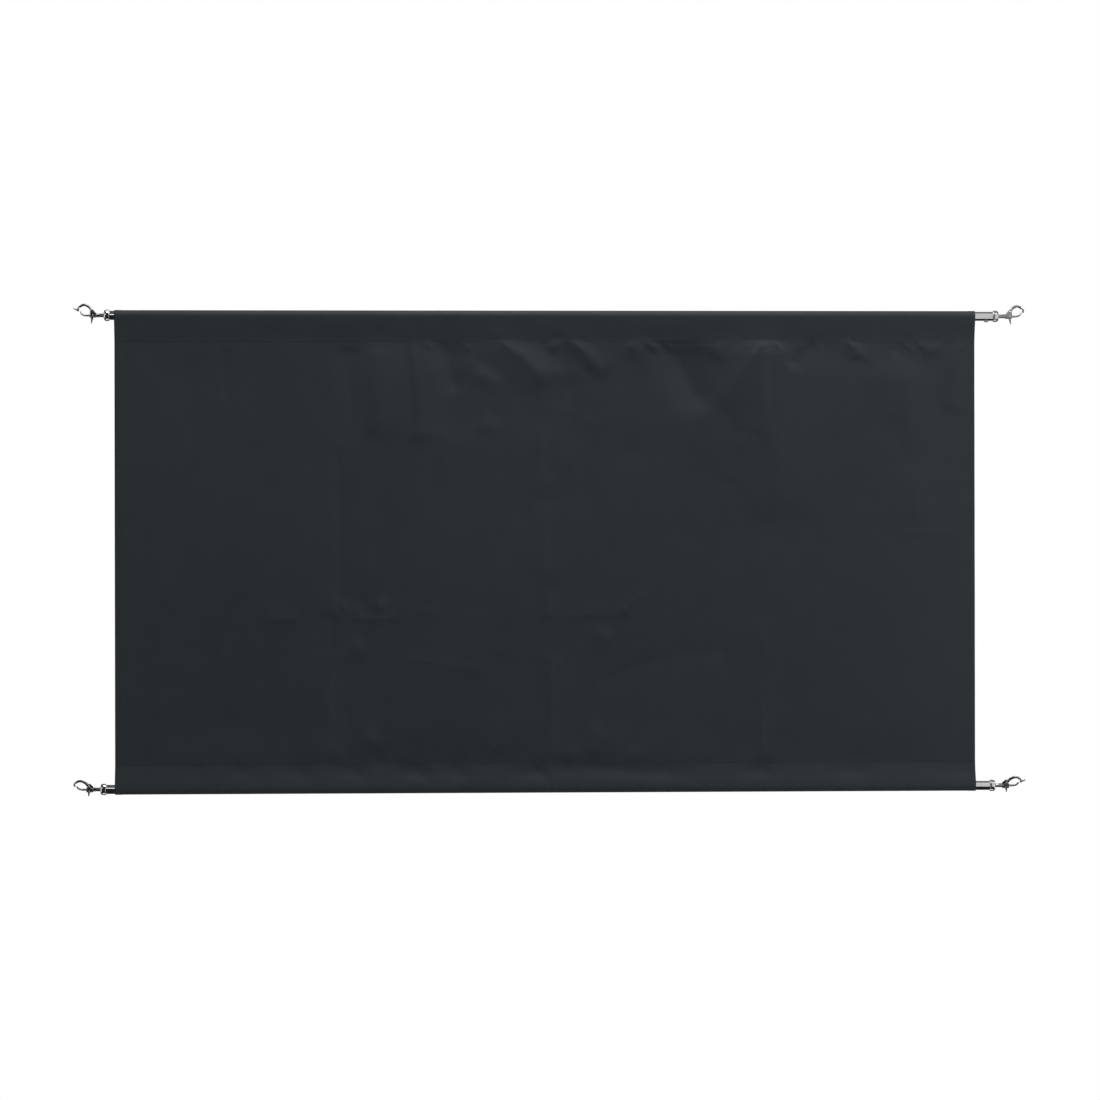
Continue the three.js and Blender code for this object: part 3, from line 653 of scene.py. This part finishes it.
def canvas_surface():
    """The cloth's middle surface as points[row, column], with how much lighter it is painted for rubbing and
    painted light, and the length run along the rows.
    """
    rows = cloth_rows()
    depth, height, front = rows[:, 0], rows[:, 1], rows[:, 2]
    run = np.concatenate([[0], np.cumsum(np.hypot(np.diff(depth), np.diff(height)))])
    columns = np.linspace(PANEL_LOW.x, PANEL_HIGH.x, round((PANEL_HIGH.x - PANEL_LOW.x) / COLUMN_STEP) + 1)
    x = np.broadcast_to(columns, (len(rows), len(columns)))
    drop = -height[:, None]
    standing, wear_and_painted_light = relief(x - PANEL_MIDDLE, drop)
    between = ((height <= TOP_SEAM + MM) & (height >= BOTTOM_SEAM - MM))[:, None]
    seam = np.where(height > (TOP_SEAM + BOTTOM_SEAM) / 2, TOP_SEAM, BOTTOM_SEAM)[:, None]
    near_seam = np.exp(-np.abs(height[:, None] - seam) / SEAM_GRIP)
    behind = ripples(x, drop, *BACK_RIPPLES) * sleeve_hold(height)[:, None] * (1 - near_seam)
    at_back = np.where(between, standing, standing * near_seam + behind)
    moved = np.where(front[:, None] > 0, standing * sleeve_hold(height)[:, None], at_back)
    points = np.stack([x, depth[:, None] - moved, np.broadcast_to(height[:, None], x.shape)], axis=2)
    outside = np.abs(x - PANEL_MIDDLE) > (PANEL_HIGH.x - PANEL_LOW.x) / 2 - HEM * HEM_WEAR_SHARE
    wear_and_painted_light = wear_and_painted_light * front[:, None] + HEM_WEAR * outside
    # Painted highlight along the sleeve's top over the pole, weak on the left, strongest right of the middle
    # and a little weaker at the far right
    highlight_over_pole = smoothstep(*POLE_HIGHLIGHT_RISE, height / SLEEVE_RADIUS)[:, None]
    fading = 1 - 0.3 * smoothstep(*POLE_HIGHLIGHT_FADE, x)
    highlight_along_pole = POLE_HIGHLIGHT_LEFT + POLE_HIGHLIGHT_GAIN * smoothstep(*POLE_HIGHLIGHT_FROM, x) * fading
    wear_and_painted_light = wear_and_painted_light + highlight_over_pole * highlight_along_pole * (1 - UNEVEN + UNEVEN * ripples(x, drop, *POLE_HIGHLIGHT_RIPPLES))
    # Painted light: the whole top sleeve is coloured lighter, against the shade of its downward lean
    wear_and_painted_light = wear_and_painted_light + BAND_PAINTED_LIGHT * (height > TOP_SEAM)[:, None]
    return points, np.clip(wear_and_painted_light, 0, MOST_WEAR_AND_LIGHT), run


def hem_profile(x):
    """How much a hem thickens the cloth at the back and at the front, with the pinch of its stitches."""
    inset = np.minimum(x - PANEL_LOW.x, PANEL_HIGH.x - x)
    stitch = np.minimum(np.abs(x - LEFT_HEM), np.abs(x - RIGHT_HEM))
    doubled = 1 - smoothstep(HEM - HEM_EDGE, HEM + HEM_EDGE, inset)
    pinch = 1 - HEM_PINCH * np.exp(-((stitch / HEM_PINCH_REACH) ** 2))
    at_back = HEM_EXTRA * doubled * (1 - HEM_BACK_PINCH + HEM_BACK_PINCH * pinch)
    return at_back, HEM_SWELL * doubled * pinch


def canvas_piece():
    points, wear_and_painted_light, run = canvas_surface()
    row_count, column_count = points.shape[:2]
    along_x = np.gradient(points, axis=1)
    along_rows = np.gradient(points, axis=0)
    normal = np.cross(along_rows, along_x)
    normal /= np.linalg.norm(normal, axis=2, keepdims=True)
    back_extra, front_extra = hem_profile(points[0, :, 0])
    panel = ((points[:, 0, 2] < TOP_SEAM - FLAP) & (points[:, 0, 2] > BOTTOM_SEAM + FLAP))[:, None]
    outer = points + normal * (CLOTH / 2 + front_extra[None, :, None])
    inner = points - normal * (CLOTH / 2 + (back_extra * panel)[:, :, None])
    vertices = np.concatenate([outer.reshape(-1, 3), inner.reshape(-1, 3)])

    grid = np.arange(row_count * column_count).reshape(row_count, column_count)
    a, b, c, d = grid[:-1, :-1], grid[:-1, 1:], grid[1:, 1:], grid[1:, :-1]
    front_faces = np.stack([a, d, c, b], axis=2).reshape(-1, 4)
    back_faces = np.stack([a, b, c, d], axis=2).reshape(-1, 4) + grid.size
    rim = np.concatenate([grid[0, :], grid[1:, -1], grid[-1, -2::-1], grid[-2:0:-1, 0]])
    following = np.roll(rim, -1)
    rim_faces = np.stack([rim, following, following + grid.size, rim + grid.size], axis=1)
    faces = np.concatenate([front_faces, back_faces, rim_faces])
    piece = mesh_piece("canvas_cloth", vertices.tolist(), faces.tolist())

    mesh = piece.data
    cloth_uv = np.stack(np.broadcast_arrays(points[:, :, 0], run[:, None]), axis=2).reshape(-1, 2)
    cloth_uv = np.concatenate([cloth_uv, cloth_uv])
    corners = np.empty(len(mesh.loops), dtype=np.int32)
    mesh.loops.foreach_get("vertex_index", corners)
    mesh.uv_layers.new(name="cloth").data.foreach_set("uv", cloth_uv[corners].ravel())
    # Per point, the share of rubbing and painted light in the lighter colour
    wear_and_light = mesh.attributes.new("wear_and_light", "FLOAT", "POINT")
    wear_and_light.data.foreach_set("value", np.concatenate([wear_and_painted_light.ravel(), wear_and_painted_light.ravel()]).astype(np.float32))
    dress(piece, "canvas", CANVAS)
    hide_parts("canvas_panel")


def stitches(name, node, start, end):
    """A row of lockstitches from start to end, each (x, height), lying on the cloth's front."""
    start, end = np.array(start), np.array(end)
    length = np.linalg.norm(end - start)
    along = (end - start) / length
    aside = np.array([-along[1], along[0]])
    count = int(length / STITCH_PITCH)
    rings, sides = STITCH_RINGS, STITCH_SIDES
    middles = start + along * ((np.arange(count) + 0.5) * length / count)[:, None]
    share = np.linspace(-0.5, 0.5, rings)
    bow = np.cos(math.pi * share)
    thick = STITCH_RADIUS * np.sqrt(np.clip(1 - (2 * share * STITCH_END) ** 4, STITCH_THINNEST, 1))
    turn = 2 * math.pi * np.arange(sides) / sides
    spine = middles[:, None, :] + along * (share * STITCH_LENGTH)[None, :, None]
    _, front_extra = hem_profile(spine[:, :, 0])
    surface = front_depth(spine[:, :, 0], spine[:, :, 1]) - CLOTH / 2 - front_extra
    lift = surface - STITCH_RISE * bow[None, :]
    flat = spine[:, :, None, :] + aside * (thick[:, None] * np.cos(turn))[None, :, :, None]
    depth = lift[:, :, None] + (thick[:, None] * np.sin(turn))[None, :, :]
    points = np.stack([flat[..., 0], depth, flat[..., 1]], axis=-1).reshape(-1, 3)
    faces = []
    for stitch in range(count):
        base = stitch * rings * sides
        for ring in range(rings - 1):
            here = base + ring * sides
            for k in range(sides):
                on = (k + 1) % sides
                faces.append((here + k, here + on, here + sides + on, here + sides + k))
        faces.append(tuple(base + k for k in reversed(range(sides))))
        faces.append(tuple(base + (rings - 1) * sides + k for k in range(sides)))
    piece = mesh_piece(name, points.tolist(), faces)
    dress(piece, "canvas", THREAD)
    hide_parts(node)


stitches("stitches_top", "seam_thread_top", (PANEL_LOW.x, TOP_SEAM), (PANEL_HIGH.x, TOP_SEAM))
stitches("stitches_bottom", "seam_thread_bottom", (PANEL_LOW.x, BOTTOM_SEAM), (PANEL_HIGH.x, BOTTOM_SEAM))
for side, hem in (("left", LEFT_HEM), ("right", RIGHT_HEM)):
    hem_top, hem_bottom = (hem, TOP_SEAM - STITCH_PITCH), (hem, BOTTOM_SEAM + STITCH_PITCH)
    stitches(f"stitches_{side}", f"hem_thread_{side}", hem_top, hem_bottom)


# Metal. Every turned piece is made in its own frame: u outward along the pole, s up and v across, in metres.

POLE_WALL = 1 * MM
COLLAR_RADIUS = 8.75 * MM
COLLAR_BAND = 4.6 * MM
COLLAR_CHAMFER = 0.5 * MM
DOME_LENGTH = 4 * MM
DOME_END_RADIUS = 4.2 * MM
DOME_WALL = 2 * MM
SPIGOT_LENGTH = 18 * MM
SPIGOT_RADIUS = 5.7 * MM
SWIVEL_BORE = 4.7 * MM
SWIVEL_HOLE = 3.1 * MM
RIVET_HEAD_RADIUS = 4 * MM
RIVET_HEAD_HEIGHT = 1.9 * MM
RIVET_SHANK_RADIUS = 1.5 * MM
RIVET_BASE = 7.3 * MM
SWIVEL_HEAD = 2 * MM
SWIVEL_HEAD_RADIUS = 4.4 * MM
SWIVEL_HEAD_GAP = 0.3 * MM
SWIVEL_RADIUS = 2.8 * MM
SWIVEL_LENGTH = 6 * MM
SWIVEL_TAIL_RADIUS = 1.7 * MM
SWIVEL_TAIL_LENGTH = 5.2 * MM
PIVOT_ALONG = 16 * MM
GATE_PIN_RADIUS = 1.2 * MM
GATE_PIN_LENGTH = 8 * MM
GATE_PIN_CROWN = 0.25 * MM
SPRING_WIRE = 0.5 * MM
SPRING_RADIUS = 1.85 * MM
SPRING_PITCH = 0.95 * MM
SPRING_TURNS = 2
SPRING_LEG = 2.3 * MM
COIL_STEPS = 96
LEG_STEPS = 6
WIRE_SIDES = 12
DOME_STEPS = 18
RIVET_STEPS = 14
CROWN_STEPS = 6
CROWN_ANGLES = [math.pi / 2 * k / CROWN_STEPS for k in range(CROWN_STEPS + 1)]
HOOK_TURNS = {"top_left": 5, "top_right": -14, "bottom_left": -34, "bottom_right": 36}
TURNED_SIDES = 96
EASE = 0.25 * MM
SHARP = math.radians(28)
WELD = 0.001 * MM

# Rounding of the hooks and gates: the size of its cells, and how far and how often it is smoothed
CAST_CELL = 0.18 * MM
POLISH_SHARE = 0.5
POLISH_PASSES = 6


def axis_height(name):
    """How high the pole axis lies that a spot or a pole belongs to."""
    return BOTTOM_AXIS if name.startswith("bottom") else 0.0


def pole_of(spot):
    return f"{spot.split('_')[0]}_pole"


def eased(profile):
    """A profile of (radius, place along the axis) whose corners off the axis are cut back to catch light."""
    points = []
    for before, corner, after in zip([profile[0], *profile], profile, [*profile[1:], profile[-1]]):
        here, back, on = Vector(corner), Vector(before), Vector(after)
        if here in (back, on) or here.x == 0:
            points.append(here)
            continue
        if (here - back).angle(on - here) < SHARP:
            points.append(here)
        else:
            cut = min(EASE, (here - back).length / 3, (on - here).length / 3)
            start = here + (back - here).normalized() * cut
            end = here + (on - here).normalized() * cut
            points.extend((start, (start + here * 2 + end) / 4, end))
    return points


def turned(name, node, body, material, profile, to_world):
    """A body turned about u from a profile of (radius, u) that closes on itself or ends on the axis."""
    points = []
    rings = eased(profile)
    for radius, along in rings:
        for k in range(TURNED_SIDES):
            angle = 2 * math.pi * k / TURNED_SIDES
            points.append(to_world(along, radius * math.cos(angle), radius * math.sin(angle)))
    faces = []
    for ring in range(len(rings) - 1):
        for k in range(TURNED_SIDES):
            here, following = ring * TURNED_SIDES + k, ring * TURNED_SIDES + (k + 1) % TURNED_SIDES
            faces.append((here, following, following + TURNED_SIDES, here + TURNED_SIDES))
    finished(name, node, body, material, points, faces)


def finished(name, node, body, material, points, faces):
    """A closed metal piece in place of a CAD node, with doubled points joined and sharp edges kept."""
    piece = mesh_piece(name, points, faces)
    shape = bmesh.new()
    shape.from_mesh(piece.data)
    bmesh.ops.remove_doubles(shape, verts=shape.verts, dist=WELD)
    bmesh.ops.recalc_face_normals(shape, faces=shape.faces)
    shape.to_mesh(piece.data)
    shape.free()
    piece.data.set_sharp_from_angle(angle=SHARP)
    dress(piece, body, material)
    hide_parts(node)


def pole_end_frame(spot, turn=0.0):
    """Turns (u, v, s) of a pole end into a place in the world. u is 0 at the outer end of its ferrule."""
    side = 1 if spot.endswith("right") else -1
    low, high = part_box(f"ferrule_{spot}")
    end = high.x if side > 0 else low.x
    axis = axis_height(spot)
    cosine, sine = math.cos(turn), math.sin(turn)

    def to_world(along, across, up):
        depth = side * (across * cosine - up * sine)
        return (end + side * along, depth, axis + across * sine + up * cosine)

    return to_world


def pole_tube(pole):
    low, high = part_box(f"{pole}_pole_tube")
    inner, axis = POLE_RADIUS - POLE_WALL, axis_height(pole)
    profile = [(inner, low.x), (POLE_RADIUS, low.x), (POLE_RADIUS, high.x), (inner, high.x), (inner, low.x)]
    turned(
        f"polished_{pole}_tube", f"{pole}_pole_tube", f"{pole}_pole", POLE_STEEL, profile,
        lambda along, across, up: (along, across, axis + up),
    )


def ferrule(spot):
    band_start = -COLLAR_BAND - DOME_LENGTH
    profile = [
        (SWIVEL_BORE, band_start - SPIGOT_LENGTH), (SPIGOT_RADIUS, band_start - SPIGOT_LENGTH),
        (SPIGOT_RADIUS, band_start), (COLLAR_RADIUS - COLLAR_CHAMFER, band_start),
        (COLLAR_RADIUS, band_start + COLLAR_CHAMFER),
    ]
    for step in range(DOME_STEPS + 1):
        angle = math.pi / 2 * step / DOME_STEPS
        radius = DOME_END_RADIUS + (COLLAR_RADIUS - DOME_END_RADIUS) * math.cos(angle)
        profile.append((radius, DOME_LENGTH * (math.sin(angle) - 1)))
    profile += [
        (SWIVEL_HOLE, 0), (SWIVEL_HOLE, -DOME_WALL), (SWIVEL_BORE, -DOME_WALL),
        (SWIVEL_BORE, band_start - SPIGOT_LENGTH),
    ]
    turned(
        f"polished_ferrule_{spot}", f"ferrule_{spot}", pole_of(spot), CHROME, profile,
        pole_end_frame(spot),
    )


def rivet(spot):
    """A domed rivet, under the top pole's ends and behind the bottom pole's."""
    low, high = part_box(f"rivet_{spot}")
    middle = (low + high) / 2
    axis = axis_height(spot)
    profile = [(0, SWIVEL_BORE), (RIVET_SHANK_RADIUS, SWIVEL_BORE), (RIVET_SHANK_RADIUS, RIVET_BASE)]
    for step in range(RIVET_STEPS + 1):
        radius = RIVET_HEAD_RADIUS * (1 - step / RIVET_STEPS)
        rise = RIVET_HEAD_HEIGHT * (1 - (radius / RIVET_HEAD_RADIUS) ** 2)
        profile.append((radius, RIVET_BASE + rise))
    down = spot.startswith("top")

    def to_world(along, across, up):
        out = (across, -along) if down else (along, across)
        return (middle.x + up, out[0], axis + out[1])

    turned(
        f"polished_rivet_{spot}", f"rivet_{spot}", pole_of(spot), CHROME, profile, to_world
    )


def swivel_pin(spot):
    head = -DOME_WALL - SWIVEL_HEAD_GAP
    tail = SWIVEL_LENGTH + SWIVEL_TAIL_LENGTH
    profile = [
        (0, head - SWIVEL_HEAD), (SWIVEL_HEAD_RADIUS, head - SWIVEL_HEAD), (SWIVEL_HEAD_RADIUS, head),
        (SWIVEL_RADIUS, head), (SWIVEL_RADIUS, SWIVEL_LENGTH), (SWIVEL_TAIL_RADIUS, SWIVEL_LENGTH),
        (SWIVEL_TAIL_RADIUS, tail), (0, tail),
    ]
    turned(
        f"polished_swivel_{spot}", f"swivel_pin_{spot}", f"{spot}_hook", HOOK_STEEL, profile,
        pole_end_frame(spot),
    )


def gate_pin(spot):
    to_world = pole_end_frame(spot, math.radians(HOOK_TURNS[spot]))
    half = GATE_PIN_LENGTH / 2
    crown = [(GATE_PIN_RADIUS * math.cos(a), half - GATE_PIN_CROWN * (1 - math.sin(a))) for a in CROWN_ANGLES]
    profile = [(radius, -along) for radius, along in reversed(crown)] + crown
    turned(
        f"polished_gate_pin_{spot}", f"gate_pin_{spot}", f"{spot}_hook", CHROME, profile,
        lambda along, across, up: to_world(PIVOT_ALONG + across, along, up),
    )


def gate_spring(spot):
    """The torsion spring's wire: its turns around the gate's pin, then its straight leg."""
    to_world = pole_end_frame(spot, math.radians(HOOK_TURNS[spot]))
    wound = 2 * math.pi * SPRING_RADIUS * SPRING_TURNS
    runs = [wound * k / COIL_STEPS for k in range(COIL_STEPS + 1)]
    runs += [wound + SPRING_LEG * (k + 1) / LEG_STEPS for k in range(LEG_STEPS)]
    centres = []
    for run in runs:
        held = min(run, wound)
        angle = math.pi / 2 - 2 * math.pi * SPRING_TURNS + held / SPRING_RADIUS
        centres.append(Vector((
            PIVOT_ALONG + SPRING_RADIUS * math.cos(angle) - (run - held),
            SPRING_PITCH * (held / wound - 0.5) * SPRING_TURNS,
            SPRING_RADIUS * math.sin(angle),
        )))
    sides, points, faces = WIRE_SIDES, [], []
    for k, centre in enumerate(centres):
        ahead = (centres[min(k + 1, len(centres) - 1)] - centres[max(k - 1, 0)]).normalized()
        first = Vector((0, 1, 0)).cross(ahead).normalized()
        second = ahead.cross(first)
        for corner in range(sides):
            angle = 2 * math.pi * corner / sides
            offset = (first * math.cos(angle) + second * math.sin(angle)) * SPRING_WIRE / 2
            points.append(to_world(*(centre + offset)))
    for k in range(len(centres) - 1):
        for corner in range(sides):
            here, following = k * sides + corner, k * sides + (corner + 1) % sides
            faces.append((here, following, following + sides, here + sides))
    faces.append(tuple(range(sides)))
    faces.append(tuple((len(centres) - 1) * sides + corner for corner in reversed(range(sides))))
    finished(
        f"polished_spring_{spot}", f"gate_spring_{spot}", f"{spot}_gate", SPRING_STEEL,
        points, faces,
    )


def rounded(piece):
    """Rounds the facets of a CAD node with modifiers, which leave its mesh as it is."""
    cast = piece.modifiers.new("cast", "REMESH")
    cast.mode = "VOXEL"
    cast.voxel_size = CAST_CELL
    cast.use_smooth_shade = True
    polish = piece.modifiers.new("polish", "SMOOTH")
    polish.factor = POLISH_SHARE
    polish.iterations = POLISH_PASSES


for pole in ("top", "bottom"):
    pole_tube(pole)
for spot in SPOTS:
    ferrule(spot)
    rivet(spot)
    swivel_pin(spot)
    gate_pin(spot)
    gate_spring(spot)
    for node in ("hook", "gate"):
        rounded(repaint(f"{node}_{spot}", HOOK_STEEL))

canvas_piece()


# Camera, light and floor

def add_camera():
    camera = bpy.data.objects.new("camera", bpy.data.cameras.new("camera"))
    camera.data.sensor_width = SENSOR
    camera.data.lens = SENSOR * VIEW_DISTANCE / VIEW_WIDTH
    toward = Vector((math.sin(VIEW_YAW), math.cos(VIEW_YAW), 0))
    camera.location = VIEW_CENTRE - toward * VIEW_DISTANCE
    camera.rotation_euler = (math.pi / 2, 0, -VIEW_YAW)
    camera.rotation_euler.rotate_axis("Z", VIEW_ROLL)
    bpy.context.scene.collection.objects.link(camera)
    bpy.context.scene.camera = camera


def add_area_light(name, place, target, width, height, power):
    light = bpy.data.lights.new(name, "AREA")
    light.shape = "RECTANGLE"
    light.size = width
    light.size_y = height
    light.energy = power
    lamp = bpy.data.objects.new(name, light)
    lamp.location = place
    lamp.rotation_euler = (Vector(target) - Vector(place)).to_track_quat("-Z", "Y").to_euler()
    bpy.context.scene.collection.objects.link(lamp)


def add_world():
    """An even soft light on the object and white for the camera.

    Reflections see a dark room that is white behind the object and glows at both sides, overhead and
    underneath."""
    world = bpy.data.worlds.new("studio")
    world.use_nodes = True
    bpy.context.scene.world = world
    nodes, links = world.node_tree.nodes, world.node_tree.links
    even = nodes["Background"]
    even.inputs["Color"].default_value = (1, 1, 1, 1)
    even.inputs["Strength"].default_value = EVEN_LIGHT

    def math_node(operation, first, second):
        made = nodes.new("ShaderNodeMath")
        made.operation = operation
        for socket, value in zip(made.inputs, (first, second)):
            if isinstance(value, bpy.types.NodeSocket):
                links.new(value, socket)
            else:
                socket.default_value = value
        return made.outputs[0]

    def eased_range(axis, low, high, start, end):
        made = nodes.new("ShaderNodeMapRange")
        made.interpolation_type = "SMOOTHSTEP"
        links.new(axes.outputs[axis], made.inputs["Value"])
        for name, value in (("From Min", low), ("From Max", high), ("To Min", start), ("To Max", end)):
            made.inputs[name].default_value = value
        return made.outputs[0]

    path = nodes.new("ShaderNodeLightPath")
    coordinates = nodes.new("ShaderNodeTexCoord")
    axes = nodes.new("ShaderNodeSeparateXYZ")
    links.new(coordinates.outputs["Generated"], axes.inputs[0])
    behind = eased_range(*BEHIND)
    overhead = math_node("MULTIPLY", eased_range(*OVERHEAD_RIGHT), eased_range(*RIGHT_SIDE))
    overhead = math_node("MAXIMUM", overhead, eased_range(*OVERHEAD))
    underneath = eased_range(*UNDERNEATH)
    beside = math_node("MAXIMUM", eased_range(*FAR_RIGHT), eased_range(*FAR_LEFT))
    level = math_node("MAXIMUM", behind, beside)
    around = math_node("MAXIMUM", level, math_node("MAXIMUM", overhead, underneath))
    seen = nodes.new("ShaderNodeBackground")
    seen.inputs["Color"].default_value = (1, 1, 1, 1)
    links.new(math_node("MAXIMUM", around, path.outputs["Is Camera Ray"]), seen.inputs["Strength"])
    shown = math_node("MAXIMUM", path.outputs["Is Camera Ray"], path.outputs["Is Glossy Ray"])
    shown = math_node("MAXIMUM", shown, path.outputs["Is Transmission Ray"])
    mixed = nodes.new("ShaderNodeMixShader")
    links.new(shown, mixed.inputs[0])
    links.new(even.outputs[0], mixed.inputs[1])
    links.new(seen.outputs[0], mixed.inputs[2])
    links.new(mixed.outputs[0], nodes["World Output"].inputs["Surface"])


def add_floor():
    floor = Shader("floor")
    place = floor.node("ShaderNodeTexCoord").outputs["Object"]
    dust = floor.noise(place, 3.0)
    tone = floor.mix(floor.spread(dust, 0.3, 0.7), srgb(236, 236, 235), srgb(241, 241, 240))
    floor.set(Base_Color=tone, Roughness=0.8)
    angles = [2 * math.pi * k / FLOOR_SIDES for k in range(FLOOR_SIDES)]
    ring = [
        (FLOOR_RADIUS * math.cos(angle), FLOOR_RADIUS * math.sin(angle) + FLOOR_CENTRE, FLOOR_HEIGHT)
        for angle in angles
    ]
    piece = mesh_piece("floor", ring, [tuple(range(FLOOR_SIDES))], False)
    piece.data.materials.append(floor.material)
    piece.visible_glossy = False


bpy.context.scene.view_settings.view_transform = "Standard"
add_camera()
add_world()
for lamp in LAMPS:
    add_area_light(*lamp)
add_floor()
